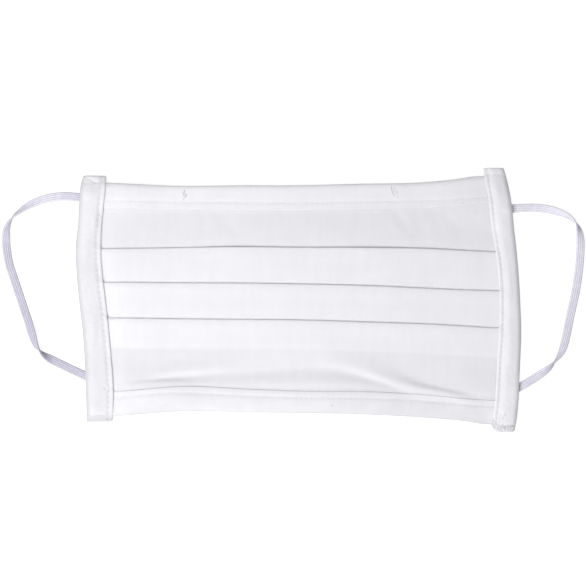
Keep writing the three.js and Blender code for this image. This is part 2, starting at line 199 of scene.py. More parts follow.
def node(tree, kind, inputs=None, **settings):
    """Adds a shader node with its settings; each input takes a value or another node's output."""
    made = tree.nodes.new(kind)
    for name, value in settings.items():
        setattr(made, name, value)
    for key, value in (inputs or {}).items():
        if isinstance(value, bpy.types.NodeSocket):
            tree.links.new(value, made.inputs[key])
        else:
            made.inputs[key].default_value = value
    return made


def cloth_place(tree):
    """Output of the cloth's own UV map, in millimetres."""
    return node(tree, "ShaderNodeUVMap", uv_map="cloth").outputs[0]


def mark_at(tree, name):
    """Output of one of the mesh's named numbers."""
    return node(tree, "ShaderNodeAttribute", attribute_name=name).outputs["Fac"]


def noise(tree, place, scale, detail, stretch=(1.0, 1.0, 1.0)):
    """Output of a noise over a place, drawn out where its stretch is small."""
    drawn = node(tree, "ShaderNodeVectorMath", {0: place, 1: stretch}, operation="MULTIPLY").outputs[0]
    return node(tree, "ShaderNodeTexNoise", {"Vector": drawn, "Scale": scale, "Detail": detail}).outputs[0]


def calculate(tree, operation, *values):
    """Output of a Math node on the values."""
    return node(tree, "ShaderNodeMath", dict(enumerate(values)), operation=operation).outputs[0]


def blend(tree, factor, first, second):
    """Colour that goes from the first to the second as the factor goes from 0 to 1."""
    made = node(tree, "ShaderNodeMix", {0: factor, 6: first, 7: second}, data_type="RGBA")
    return made.outputs[2]


def new_material(name):
    """An empty material with its output, ready for its own shader."""
    material = bpy.data.materials.new(name)
    material.use_nodes = True
    material.node_tree.nodes.clear()
    return material, material.node_tree


def finish_material(tree, shader):
    """Links a shader to the material's output."""
    node(tree, "ShaderNodeOutputMaterial", {"Surface": shader.outputs[0]})


def elastic_material():
    """Ribbed elastic: lilac white with painted shade in the grooves between its ribs, and short stitch
    marks along them. Where its greying share is higher it is greyer and its painted groove shade is deeper."""
    material, tree = new_material("elastic_white")
    cloth = cloth_place(tree)
    along = node(tree, "ShaderNodeSeparateXYZ", {0: cloth}).outputs[1]
    band_greying = mark_at(tree, "band_greying")
    stitch_marks = calculate(tree, "SINE", calculate(tree, "MULTIPLY", along, STITCH_MARKS))
    wander = calculate(tree, "SUBTRACT", noise(tree, cloth, 0.5, 3.0), 0.5)
    greyness = calculate(tree, "MULTIPLY_ADD", wander, 0.7, band_greying)
    base = blend(tree, greyness, ELASTIC_FRESH, ELASTIC_GREYED)
    # Painted shade in the grooves between the ribs, deeper where the band is greyer
    groove_shade_depth = calculate(tree, "MULTIPLY_ADD", band_greying, 0.45, 0.25)
    groove_shade = calculate(tree, "MULTIPLY", calculate(tree, "POWER", mark_at(tree, "groove"), 1.3), groove_shade_depth)
    colour = blend(tree, groove_shade, base, ELASTIC_GROOVE_SHADE)
    bump = node(tree, "ShaderNodeBump", {"Height": stitch_marks, "Strength": 0.2, "Distance": 0.0001})
    shader = node(tree, "ShaderNodeBsdfPrincipled", {
        "Base Color": colour, "Roughness": 0.62, "Sheen Weight": 0.15, "Normal": bump.outputs[0]})
    finish_material(tree, shader)
    return material


def declare_loop(side, route):
    """Builds one ear loop and hides the ear loop it stands in for."""
    line, front, back, uv, marks = band_faces(route, GREYING_ALONG_BAND[side])
    loop = add_wall(f"elastic_band_{side}", front, back, uv, marks)
    loop.data.materials.append(elastic)
    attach(loop, "root")
    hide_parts(f"ear_loop_{side}")


elastic = elastic_material()
declare_loop("left", LEFT_ROUTE)
declare_loop("right", RIGHT_ROUTE)

# Pleated panel
# One piece of plain woven white cotton. Each long edge is turned to the shown face as a hem and
# stitched down, and three knife pleats are pressed in, each strip lying over the strip above it.
CLOTH = 0.38
PANEL_HALF = 86.0
PANEL_STATIONS = 190

# Distance between folded layers, and the length, point and sag of the folds
PITCH_PRESSED = 0.4
PITCH_LOOSE = 0.48
FOLD_NOSE = 0.6
FOLD_POINT = 1.4
FOLD_SAG = 0.35
TOP_NOSE = 2.2
BOTTOM_NOSE = 0.9

# Depth of a pleat, and how a strip slides down behind the hidden fold
PLEAT_DEPTH = 12.0
DROP_LEAD = 3.0
DROP_LENGTH = 14.0
LAST_DROP_LENGTH = 17.0

# Thickness and looseness of a casing's leaf, how far the panel stays inside its outer fold, and
# how the panel is lifted near it; each ramp is its start and end
LEAF = 0.55
LEAF_GAP = 0.06
PANEL_INSET = 4.2
PANEL_REST = 0.12
LIFT_REACH = 30.0
BESIDE_CASING = {-1: 0.3, 1: -0.2}
BESIDE_RAMPS = ((0.0, 6.0), (8.0, 30.0))

# Lines along the folds and seams of the panel
PANEL_LINES = np.array([
    # x, top, upper hem, pleat 1, pleat 2, pleat 3, lower hem, bottom
    (-86, 47.2, 36.7, 20.6, 7.2, -7.0, -37.0, -47.0),
    (-72, 46.6, 36.6, 20.7, 7.2, -7.1, -36.1, -46.0),
    (-50, 45.7, 36.3, 21.0, 7.0, -7.4, -34.5, -44.5),
    (-22, 45.9, 36.0, 21.4, 6.9, -7.6, -35.6, -44.9),
    (0, 45.9, 35.9, 21.2, 6.6, -7.8, -36.4, -45.2),
    (27, 46.5, 36.4, 21.1, 6.0, -8.6, -36.6, -45.8),
    (56, 47.2, 37.0, 20.6, 4.7, -9.6, -38.3, -47.4),
    (68, 48.3, 37.6, 20.0, 4.2, -10.3, -39.4, -48.4),
    (76, 49.4, 38.6, 19.6, 4.0, -10.8, -39.9, -49.6),
    (86, 49.7, 38.8, 19.4, 3.8, -11.0, -40.2, -49.8),
])
TOP, UPPER_HEM, PLEAT_1, PLEAT_2, PLEAT_3, LOWER_HEM, BOTTOM = range(1, 8)

# The hem seams: how far they lie from the hem's inner edge, where they meet the casings and how far
# they stop short of them, and how far they pinch and pucker the cloth
HEM_STITCH = {UPPER_HEM: 2.8, LOWER_HEM: -2.6}
HEM_MEETING = {UPPER_HEM: 39.0, LOWER_HEM: -39.0}
HEM_SEAM_GAP = 1.2
HEM_SEAM_REACH = 0.7
PUCKER_REACH = 0.8

# The hems: how they puff up, tilt and are pressed at their inner edges, how the casings hold them
# down, and the dip along the lower one
HEM_PUFF = {UPPER_HEM: 0.2, LOWER_HEM: 0.32}
HEM_TILT = {UPPER_HEM: 1.0, LOWER_HEM: 0.6}
HEM_PRESSED = {UPPER_HEM: 0.35, LOWER_HEM: 0.08}
HEM_HELD = 0.6
HEM_DIP = 0.3
HEM_DIP_REACH = 1.8

# How long the rounding of a pleat's pressed edge is across the mask
EDGE_ROUNDING = ((-86, -55, -20, 10, 60, 86), (2.2, 2.6, 3.8, 4.2, 3.8, 2.8))

# How far the pressed edge of each pleat springs up across the mask
PLEAT_SPRING = {
    PLEAT_1: ((-80, -45, -23, -8, 10, 29, 45, 60, 80), (0.0, 0.05, 0.6, 0.35, 0.35, 0.7, 0.5, 0.3, 0.0)),
    PLEAT_2: ((-80, -20, 20, 50, 80), (0.0, 0.0, 0.05, 0.12, 0.0)),
    PLEAT_3: ((-80, -20, 20, 50, 80), (0.0, 0.0, 0.05, 0.12, 0.0)),
}

# The side casings' edges
LEFT_CASING = np.array([
    # y, outer, inner
    (-48.6, -84.9, -74.6), (-45.5, -84.9, -74.4), (-38, -85.1, -74.1), (-32, -85.3, -74.3),
    (-21, -85.8, -75.2), (-12, -86.5, -76.0), (0, -87.9, -77.3), (10, -88.8, -78.5),
    (21.5, -89.2, -79.2), (30, -88.3, -78.8), (38, -87.8, -78.0), (47.7, -86.9, -77.1),
    (49.6, -86.4, -77.1),
])
RIGHT_CASING = np.array([
    # y, outer, inner
    (-52.7, 86.2, 77.0), (-50.4, 86.6, 77.2), (-40.5, 87.7, 78.3), (-33, 88.0, 78.8),
    (-25, 88.4, 79.2), (-14, 88.8, 79.9), (0, 88.4, 80.1), (13, 87.6, 79.4),
    (20.5, 86.9, 78.4), (30, 85.8, 76.8), (40, 84.7, 75.7), (50.1, 82.6, 74.0),
    (52.7, 81.8, 73.6),
])
OUTER, INNER = 1, 2

# Where the band ends lie under each casing, and how high and how far along it they lift it
BAND_ENDS = {-1: (40.8, -32.0), 1: (36.5, -36.0)}
BAND_RISE = 1.0
BAND_RISE_REACH = 10.0

# The long crease of the lowest strip: its crest, height, and reach to each side
CREASE = np.array([
    # x, crest, height, reach above, reach below
    (4, -24.0, 0.0, 6.0, 3.0), (14, -25.0, 0.45, 5.0, 2.0), (24, -27.8, 0.8, 5.0, 1.6),
    (32, -30.6, 1.0, 4.2, 1.5), (40, -33.4, 1.15, 3.4, 1.8), (46, -34.9, 1.25, 2.1, 2.5),
    (52, -36.0, 1.25, 1.4, 2.4), (58, -37.1, 1.15, 1.2, 2.0), (64, -38.3, 0.8, 1.2, 2.0),
    (71, -39.6, 0.0, 2.0, 2.0),
])
# The soft swelling at the left end of the lowest strip, in the same columns
SWELLING = np.array([
    (-62, -31.0, 0.0, 3.0, 2.0), (-54, -29.5, 0.6, 3.0, 1.1), (-46, -28.5, 1.0, 3.6, 1.1),
    (-38, -27.5, 0.8, 3.8, 1.5), (-28, -26.2, 0.3, 4.0, 2.4), (-14, -26.0, 0.0, 4.0, 4.0),
])
# Where the lowest strip climbs on to the hem: start and end of the climb, and its height
CLIMB = np.array([
    (-76, -33.0, -35.6, 0.0), (-64, -31.8, -34.2, 0.7), (-56, -31.3, -33.4, 1.3),
    (-48, -30.8, -33.2, 1.45), (-40, -30.2, -33.6, 1.1), (-30, -29.2, -34.0, 1.2),
    (-10, -27.8, -34.0, 1.6), (10, -27.0, -33.6, 1.6), (24, -29.6, -34.4, 1.2),
    (34, -32.6, -35.6, 0.7), (44, -34.6, -36.4, 0.1), (56, -36.0, -38.0, 0.0),
])
# Share of the climb that is lost again across the hem: its size, start and end
CLIMB_LOSS = (0.3, 38.0, 47.0)
# Painted shadows in the needle holes and slits beside the tacks on the nose hem, and two dark specks: start,
# end, width, depth
NEEDLE_SHADOWS_AND_SPECKS = (
    (-45.8, 43.7, -45.8, 43.1, 0.42, 0.6), (-45.7, 42.6, -44.9, 41.9, 0.34, 0.55),
    (-44.9, 41.9, -45.4, 40.9, 0.34, 0.55), (-46.2, 40.4, -46.0, 40.0, 0.40, 0.4),
    (36.9, 45.2, 37.3, 42.6, 0.38, 0.5), (38.0, 44.9, 38.1, 44.5, 0.40, 0.35),
    (13.2, -42.0, 13.4, -42.1, 0.50, 0.45), (65.2, 38.8, 65.4, 38.9, 0.50, 0.4),
)
# The threads of the two tacks: start and end of each stitch
TACK_STITCHES = (
    (-46.8, 42.9, -46.1, 42.2), (-46.6, 42.3, -45.9, 41.8), (-46.5, 41.6, -45.7, 41.1),
    (37.5, 42.4, 38.1, 41.5), (38.7, 43.4, 39.3, 42.5), (39.0, 41.6, 39.8, 41.0), (37.7, 43.6, 38.2, 42.8),
)
TACK_THREAD = 0.30
TACK_HEIGHT = 0.16

# How high the strip above the first pleat puffs up before it dives under the pleat's edge, and the
# ramps of that along Y
DIVE = ((-80, -60, -25, 0, 30, 60, 80), (0.2, 0.4, 0.6, 0.65, 0.6, 0.55, 0.3))
DIVE_RAMPS = ((-3.0, 3.5), (10.0, 30.0))

# Faint dents and swellings: x, y, half length, half width, turn in degrees, height
FAINT = np.array([
    (-30, 31.5, 9, 4, -50, -0.16), (-18, 29.0, 12, 6, 20, 0.12), (41, 31.5, 9, 3, -50, -0.2),
    (52, 30.0, 10, 4, -60, 0.14), (60, 32.5, 7, 3, -55, -0.14), (-52, 29.0, 14, 6, 10, 0.12),
    (8, 28.5, 16, 6, -8, 0.14), (70, 26.0, 7, 5, 60, 0.12), (-60, 14.0, 16, 5, 4, 0.10),
    (-16, 14.5, 16, 5, -6, 0.10), (34, 13.0, 18, 5, 5, 0.12), (68, 12.5, 8, 5, 50, 0.10),
    (-54, -0.5, 14, 5, -5, 0.10), (-8, -1.5, 18, 5, 3, 0.10), (44, -2.5, 16, 5, -4, 0.12),
    (-62, -15.0, 14, 6, 12, 0.12), (4, -15.5, 22, 6, -4, 0.12), (56, -17.5, 16, 6, 6, 0.12),
    (66, -29.5, 7, 7, 40, 0.16), (-70, -27.0, 5, 9, 0, 0.12),
])

# How much cloth seems to lie behind the lowest strip across the mask
LOWEST_BACKING = ((-80, -40, 0, 20, 80), (0.0, 0.1, 0.35, 0.15, 0.05))
# How greyed the mask is below the last pleat's hidden fold
LOWEST_GREYED = ((-80, -40, 0, 20, 80), (0.26, 0.2, 0.06, 0.06, 0.05))
# Reach of the painted shade along the two long folded edges
EDGE_SHADE_REACH = 0.8

# Colours: single cloth, cloth with cloth behind it, the grey of the painted shade on the folded edges and of
# the greying, the painted shadow in a needle hole, and the thread
SINGLE_COTTON = ((0.712, 0.704, 0.739, 1), (0.768, 0.760, 0.793, 1))
BACKED_COTTON = ((0.766, 0.758, 0.798, 1), (0.817, 0.810, 0.846, 1))
PANEL_SHADE_GREY = (0.62, 0.615, 0.645, 1)
NEEDLE_SHADOW = (0.30, 0.29, 0.32, 1)
THREAD_WHITE = (0.80, 0.795, 0.83, 1)

# White sewing thread, one stitch after another
THREAD = 0.24
STITCH_PITCH = 2.2
STITCH_LENGTH = 1.9
STITCH_HEIGHT = 0.05
STITCH_SINK = 0.16


def step_up(value, start, end):
    """0 before start and 1 after end, with an even S between them."""
    t = np.clip((value - start) / (end - start), 0, 1)
    return t * t * (3 - 2 * t)


def plateau(value, rise, fall):
    """1 between two ramps and 0 outside them; each ramp is its start and end."""
    return step_up(value, *rise) * (1 - step_up(value, *fall))


def fade(distance, reach):
    """1 at no distance, falling to both sides as exp(-distance squared), measured in the reach."""
    return np.exp(-(distance / reach) ** 2)


def line_at(table, column, at):
    """A column of a table on the smooth curve through its rows; the first column is the place."""
    return smooth(table[:, 0], table[:, column], at)


def swell(table, x, y):
    """Sum of oval swellings: each is its height times (1 - distance squared) squared, where the
    distance is measured in half lengths along it and half widths across it."""
    total = np.zeros(np.broadcast(x, y).shape)
    for cx, cy, length, width, turn, height in table:
        c, s = np.cos(np.radians(turn)), np.sin(np.radians(turn))
        along = ((x - cx) * c + (y - cy) * s) / length
        across = ((y - cy) * c - (x - cx) * s) / width
        total += height * np.clip(1 - along ** 2 - across ** 2, 0, None) ** 2
    return total


def ridge(table, x, y):
    """A ridge along its crest line: its height, fading with the distance from the crest in the
    reach of the side that the place is on."""
    away = y - line_at(table, 1, x)
    reach = np.where(away > 0, line_at(table, 3, x), line_at(table, 4, x))
    inside = (x > table[0, 0]) & (x < table[-1, 0])
    return np.where(inside, line_at(table, 2, x), 0) * fade(away, reach)


def casing_floor(side, y):
    """Height of a casing's underside: a cosine-squared arch over each band end sewn under it."""
    ways = [np.clip((y - end) / BAND_RISE_REACH, -1, 1) for end in BAND_ENDS[side]]
    return BAND_RISE * np.maximum(*[np.cos(np.pi / 2 * way) ** 2 for way in ways])


def beside_casing(side, x, y):
    """Distance from a casing's inner edge towards the middle of the mask."""
    table = LEFT_CASING if side < 0 else RIGHT_CASING
    return side * (line_at(table, INNER, y) - x)


def beside_nearest(x, y):
    """Distance from the inner edge of the nearer casing towards the middle of the mask."""
    return np.minimum(beside_casing(-1, x, y), beside_casing(1, x, y))


def panel_floor(x, y):
    """Height of the panel's underside: held up inside the casings, climbing on to the lower hem,
    diving under the first pleat and puffed up between the hem seams, which pinch it down; with the
    crease, the swelling and the faint dents on top."""
    height = PANEL_REST + swell(FAINT, x, y) + ridge(CREASE, x, y) + ridge(SWELLING, x, y)
    for side in (-1, 1):
        inward = beside_casing(side, x, y)
        held = casing_floor(side, y) + LEAF + LEAF_GAP
        height = height + held * (1 - step_up(inward, 1.0, LIFT_REACH))
        height = height + BESIDE_CASING[side] * plateau(inward, *BESIDE_RAMPS)
    climb = line_at(CLIMB, 3, x) * step_up(-y, -line_at(CLIMB, 1, x), -line_at(CLIMB, 2, x))
    loss, loss_start, loss_end = CLIMB_LOSS
    height = height + climb * (1 - loss * step_up(-y, loss_start, loss_end))
    height = height - HEM_DIP * fade(y - line_at(PANEL_LINES, LOWER_HEM, x), HEM_DIP_REACH)
    held_down = 1 - step_up(beside_nearest(x, y), -1.0, 9.0)
    above_pleat = y - line_at(PANEL_LINES, PLEAT_1, x)
    height = height + smooth(*DIVE, x) * plateau(above_pleat, *DIVE_RAMPS)
    for hem, edge in ((UPPER_HEM, TOP), (LOWER_HEM, BOTTOM)):
        inner, outer = line_at(PANEL_LINES, hem, x), line_at(PANEL_LINES, edge, x)
        width = np.abs(outer - inner)
        depth = np.sign(outer) * (y - inner)
        seam = fade(depth - abs(HEM_STITCH[hem]), HEM_SEAM_REACH)
        puff = plateau(depth, (-2.0, 0.6), (width - 1.6, width + 0.4))
        tilt = HEM_TILT[hem] * np.clip(depth / width, 0, 1) * (1 - HEM_HELD * held_down)
        height = height + HEM_PUFF[hem] * puff * (1 - 0.8 * seam) + tilt
    return height


def layer_pitch(x, y):
    """Distance between two folded layers: pressed flat by the casings and looser away from them."""
    return PITCH_PRESSED + (PITCH_LOOSE - PITCH_PRESSED) * step_up(beside_nearest(x, y), 0.0, 9.0)


def run(start, end, layer, shares):
    """A stretch of cloth between two lines on one layer, at the given shares of the way."""
    y = start[:, None] + (end - start)[:, None] * shares[None]
    return y, np.full(y.shape, float(layer))


def fold(nose, layer, next_layer, facing, length, steps):
    """A half oval fold from one layer to the next, as long as given. Its nose is on the line, is
    a little pointed and hangs a little below the middle of the two layers."""
    angle = np.linspace(-np.pi / 2, np.pi / 2, steps)
    length = np.broadcast_to(length, nose.shape)[:, None]
    y = nose[:, None] - facing * length + facing * (length - CLOTH / 2) * np.cos(angle)[None] ** FOLD_POINT
    sag = FOLD_SAG * np.cos(angle) ** 2
    height = (layer + next_layer) / 2 + np.sign(next_layer - layer) * np.sin(angle) / 2 - sag
    return y, np.broadcast_to(height, y.shape)


def slide(y, hidden, length):
    """Layers by which a strip still lies high after it has passed its hidden fold: two at first
    and none at the end of its length, along an even S."""
    start = hidden + DROP_LEAD
    return 2 * (1 - step_up(start[:, None] - y, 0, length))


def pleat(front, above):
    """One knife pleat: under to the hidden fold, back to the front fold, over it and down, all
    lifted by the strip above, which still slides down below it."""
    hidden = front - PLEAT_DEPTH
    nose = smooth(*EDGE_ROUNDING, line_places)
    inside = np.linspace(0, 1, 6)[1:-1]
    pieces = [
        fold(hidden, 0, 1, -1, FOLD_NOSE, 6),
        run(hidden + FOLD_NOSE, front - nose, 1, inside),
        fold(front, 1, 2, 1, nose, 14),
        run(front - nose, hidden + DROP_LEAD, 2, np.linspace(0, 1, 14)[1:]),
    ]
    if above is None:
        return pieces
    return [(y, layer + slide(y, above, DROP_LENGTH)) for y, layer in pieces]


def descent(hidden, end, length, steps):
    """The strip below a pleat's hidden fold, sliding down to the base layer."""
    y, _ = run(hidden + DROP_LEAD, end, 0, np.linspace(0, 1, steps)[1:])
    return y, slide(y, hidden, length)


def cloth_line(x):
    """The folded cloth at every station: places along Y and layer numbers, from the upper hem's
    inner edge round the nose edge, through the pleats, to the lower hem's inner edge."""
    top, upper, first, second, third, lower, bottom = (
        line_at(PANEL_LINES, column, x) for column in range(TOP, BOTTOM + 1))
    leaf = np.array([
        0, 0.012, 0.035, 0.07, 0.12, 0.17, 0.21, 0.25, 0.29, 0.33, 0.38, 0.46, 0.56, 0.68, 0.82])
    under = [front - PLEAT_DEPTH for front in (first, second, third)]
    upper_leaf, upper_layer = run(upper, top - TOP_NOSE, 1, leaf)
    lower_leaf, lower_layer = run(lower, bottom + BOTTOM_NOSE, 1, leaf)
    pressed = 1 - step_up(leaf, 0.0, 0.3)
    pieces = [
        (upper_leaf, upper_layer - HEM_PRESSED[UPPER_HEM] * pressed),
        fold(top, 1, 0, 1, TOP_NOSE, 12),
        run(top - TOP_NOSE, upper, 0, np.linspace(0, 1, 5)[1:-1]),
        run(upper, first, 0, np.linspace(0, 1, 21)),
        run(first, under[0] + FOLD_NOSE, 0, np.linspace(0, 1, 5)[1:-1]),
        *pleat(first, None),
        descent(under[0], under[1] + FOLD_NOSE, DROP_LENGTH, 18),
        *pleat(second, under[0]),
        descent(under[1], under[2] + FOLD_NOSE, DROP_LENGTH, 18),
        *pleat(third, under[1]),
        descent(under[2], lower, LAST_DROP_LENGTH, 30),
        run(lower, bottom + BOTTOM_NOSE, 0, np.linspace(0, 1, 6)[1:-1]),
        fold(bottom, 0, 1, -1, BOTTOM_NOSE, 8),
        (lower_leaf[:, ::-1], (lower_layer - HEM_PRESSED[LOWER_HEM] * pressed)[:, ::-1]),
    ]
    return np.concatenate([p[0] for p in pieces], axis=1), np.concatenate([p[1] for p in pieces], axis=1)


def rounded(distance, radius):
    """Share of a wall's thickness near its end, so that the end is half round."""
    return np.sqrt(np.clip(1 - (1 - np.clip(distance / radius, 0, 1)) ** 2, 0.03, 1))


def thicken(middle, thickness):
    """Two faces half a thickness to each side of a grid of points, along the grid's normals."""
    normal = unit(np.cross(np.gradient(middle, axis=0), np.gradient(middle, axis=1)))
    reach = normal * thickness[..., None] / 2
    return middle + reach, middle - reach


def cloth_measure(middle):
    """Distance along the cloth from the first column of a grid, in millimetres."""
    steps = np.linalg.norm(np.diff(middle, axis=1), axis=-1)
    return np.concatenate([np.zeros((len(middle), 1)), np.cumsum(steps, axis=1)], axis=1)


def backing(x, y):
    """How much cloth lies behind a place: 1 over the upper hem, 0.85 over the pleats and the lower
    hem, 0 where it is single, and between them on the lowest strip, which lies on the table."""
    first, third = line_at(PANEL_LINES, PLEAT_1, x), line_at(PANEL_LINES, PLEAT_3, x)
    hidden = third - PLEAT_DEPTH
    pleats = step_up(first - y, -0.3, 0.3) * (1 - step_up(hidden - y, -0.3, 0.6))
    upper = step_up(y - line_at(PANEL_LINES, UPPER_HEM, x), -0.6, 3.4)
    lower = step_up(line_at(PANEL_LINES, LOWER_HEM, x) - y, -0.4, 0.4)
    on_table = step_up(hidden - y, -0.3, 0.6) * smooth(*LOWEST_BACKING, x)
    return np.clip(np.maximum(0.85 * (pleats + lower), on_table) + upper, 0, 1)


def shade_and_greying(x, y):
    """Painted shade along the two long folded edges: 0.4 on the upper and 1 on the lower edge, fading
    over its reach. The part below the last pleat is greyed a little all over."""
    edges = [fade(y - line_at(PANEL_LINES, edge, x), EDGE_SHADE_REACH) for edge in (TOP, BOTTOM)]
    hidden = line_at(PANEL_LINES, PLEAT_3, x) - PLEAT_DEPTH
    lowest = step_up(hidden - y, -0.3, 0.6) * smooth(*LOWEST_GREYED, x)
    return 0.4 * edges[0] + np.maximum(edges[1], lowest)


def panel_grid():
    """The panel's middle surface: the folded line carried across the mask between the casings,
    with each layer at its pitch over the floor and each pleat's edge sprung up."""
    y, layer = cloth_line(line_places)
    left = line_at(LEFT_CASING, OUTER, y) + PANEL_INSET
    right = line_at(RIGHT_CASING, OUTER, y) - PANEL_INSET
    x = left + (right - left) * (line_places[:, None] / PANEL_HALF + 1) / 2
    z = CLOTH / 2 + layer * layer_pitch(x, y) + panel_floor(x, y)
    for column, (places, heights) in PLEAT_SPRING.items():
        behind = line_at(PANEL_LINES, column, x) - y
        reach = fade(np.clip(behind, 0, None), 5.0) * (behind > -1)
        z = z + smooth(places, heights, x) * reach * step_up(layer, 0.0, 2.0)
    return np.stack([x, y, z], axis=-1)


def add_threads(name, starts, ends, ways, height=STITCH_HEIGHT, thickness=THREAD):
    """Short threads, each an arch from its start to its end: its middle line is the straight way
    plus a bow along the given way up, half a sine wave to the power 0.7, which starts and ends a
    little below the face. The section has six corners."""
    t = np.linspace(0, 1, 8)[None, :, None]
    bow = (height + STITCH_SINK) * np.sin(np.pi * t) ** 0.7 - STITCH_SINK
    line = starts[:, None] + (ends - starts)[:, None] * t + ways[:, None] * bow
    along = unit(np.gradient(line, axis=1))
    side = unit(np.cross(along, ways[:, None]))
    upright = np.cross(side, along)
    angle = np.arange(6) * np.pi / 3
    ring = side[:, :, None] * np.cos(angle)[:, None] + upright[:, :, None] * np.sin(angle)[:, None]
    points = line[:, :, None] + ring * thickness / 2
    count, rings, corners = points.shape[:3]
    number = np.arange(count * rings * corners).reshape(count, rings, corners)
    round_on = np.roll(number, -1, axis=2)
    walls = np.stack([number[:, :-1], round_on[:, :-1], round_on[:, 1:], number[:, 1:]], axis=-1)
    uv = np.stack(np.broadcast_arrays(angle[None, None] * thickness / 2, t * 2.0), axis=-1)
    uv = np.broadcast_to(uv, (count, rings, corners, 2))
    faces = [walls.reshape(-1, 4), number[:, 0, ::-1], number[:, -1]]
    made = add_mesh(name, points.reshape(-1, 3), faces, uv.reshape(-1, 2))
    made.data.materials.append(thread_white)
    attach(made, "root")
    return made


def seam_places(start, end, offset):
    """Start and end of every stitch between two places along a seam, a little unevenly spaced."""
    begin = np.arange(start + offset, end - STITCH_LENGTH, STITCH_PITCH)
    wander = 0.16 * np.sin(begin * 2.3) + 0.1 * np.sin(begin * 5.1)
    return begin + wander, begin + wander + STITCH_LENGTH


def on_hem(x, y):
    """Points just under the upper face of a hem."""
    return np.stack([x, y, panel_floor(x, y) + CLOTH * 0.9 + layer_pitch(x, y)], axis=1)


def hem_seam(name, hem, under):
    """The stitches of one hem, on the shown face or as the bobbin row under it."""
    limits = [line_at(table, INNER, HEM_MEETING[hem]) - side * HEM_SEAM_GAP
              for side, table in ((-1, LEFT_CASING), (1, RIGHT_CASING))]

    def at(x, seed):
        y = line_at(PANEL_LINES, hem, x) + HEM_STITCH[hem] + 0.07 * np.sin(x * 1.9 + seed)
        if under:
            return np.stack([x, y, panel_floor(x, y) + CLOTH * 0.12], axis=1)
        return on_hem(x, y)

    starts, ends = seam_places(limits[0], limits[1], STITCH_PITCH / 2 if under else 0.0)
    ways = np.tile([0.0, 0.0, -1.0 if under else 1.0], (len(starts), 1))
    return add_threads(name, at(starts, 0.0), at(ends, 0.8), ways)


def weave_group():
    """Plain weave for any cloth. Its height is the product of two sines, one for each direction of
    thread, with slubs as noise drawn out along both and with fuzz; its shade is slubs and blotches."""
    tree = bpy.data.node_groups.new("plain_weave", "ShaderNodeTree")
    tree.interface.new_socket("Cloth", in_out="INPUT", socket_type="NodeSocketVector")
    for label in ("Threads per mm", "Slub", "Fuzz"):
        tree.interface.new_socket(label, in_out="INPUT", socket_type="NodeSocketFloat")
    for label in ("Height", "Shade"):
        tree.interface.new_socket(label, in_out="OUTPUT", socket_type="NodeSocketFloat")
    given = tree.nodes.new("NodeGroupInput").outputs
    cloth = given["Cloth"]
    parts = node(tree, "ShaderNodeSeparateXYZ", {0: cloth}).outputs
    turns = calculate(tree, "MULTIPLY", given["Threads per mm"], np.pi)
    warp = calculate(tree, "SINE", calculate(tree, "MULTIPLY", parts[0], turns))
    weft = calculate(tree, "SINE", calculate(tree, "MULTIPLY", parts[1], turns))
    threads = calculate(tree, "MULTIPLY", warp, weft)
    warp_slubs = noise(tree, cloth, 1.0, 2.0, (3.0, 0.12, 1.0))
    weft_slubs = noise(tree, cloth, 1.0, 2.0, (0.12, 3.0, 1.0))
    slubs = calculate(tree, "ADD", warp_slubs, weft_slubs)
    blotch = noise(tree, cloth, 0.09, 3.0)
    height = calculate(tree, "MULTIPLY_ADD", slubs, given["Slub"], calculate(tree, "MULTIPLY", threads, 0.5))
    height = calculate(tree, "MULTIPLY_ADD", noise(tree, cloth, 2.2, 4.0), given["Fuzz"], height)
    shade = calculate(tree, "MULTIPLY_ADD", slubs, 0.35, calculate(tree, "MULTIPLY", blotch, 0.65))
    out = tree.nodes.new("NodeGroupOutput")
    tree.links.new(height, out.inputs["Height"])
    tree.links.new(shade, out.inputs["Shade"])
    return tree


def capsule(tree, place, start, end, width):
    """Mask of a short straight mark: 1 on the way from start to end, in millimetres, and 0 a width
    away from it, with an even S between."""
    way = (np.array(end) - np.array(start)) * MM
    square = float(way @ way)
    away = node(tree, "ShaderNodeVectorMath", {
        0: place, 1: (start[0] * MM, start[1] * MM, 0.0)}, operation="SUBTRACT").outputs[0]
    share = node(tree, "ShaderNodeVectorMath", {
        0: away, 1: (way[0] / square, way[1] / square, 0.0)}, operation="DOT_PRODUCT").outputs["Value"]
    share = calculate(tree, "MINIMUM", calculate(tree, "MAXIMUM", share, 0.0), 1.0)
    near = node(tree, "ShaderNodeVectorMath", {
        0: (way[0], way[1], 0.0), "Scale": share}, operation="SCALE").outputs[0]
    distance = node(tree, "ShaderNodeVectorMath", {0: away, 1: near}, operation="DISTANCE").outputs["Value"]
    return node(tree, "ShaderNodeMapRange", {
        0: distance, 1: 0.0, 2: width * MM, 3: 1.0, 4: 0.0}, interpolation_type="SMOOTHSTEP").outputs[0]


def thread_material():
    """White sewing thread with its twist as slanting bands."""
    material, tree = new_material("thread_white")
    parts = node(tree, "ShaderNodeSeparateXYZ", {0: cloth_place(tree)}).outputs
    slant = calculate(tree, "MULTIPLY_ADD", parts[0], 8.0, calculate(tree, "MULTIPLY", parts[1], 16.0))
    twist = calculate(tree, "SINE", slant)
    bump = node(tree, "ShaderNodeBump", {"Height": twist, "Strength": 0.6, "Distance": 0.00005})
    shader = node(tree, "ShaderNodeBsdfPrincipled", {
        "Base Color": THREAD_WHITE, "Roughness": 0.6, "Sheen Weight": 0.1, "Normal": bump.outputs[0]})
    finish_material(tree, shader)
    return material


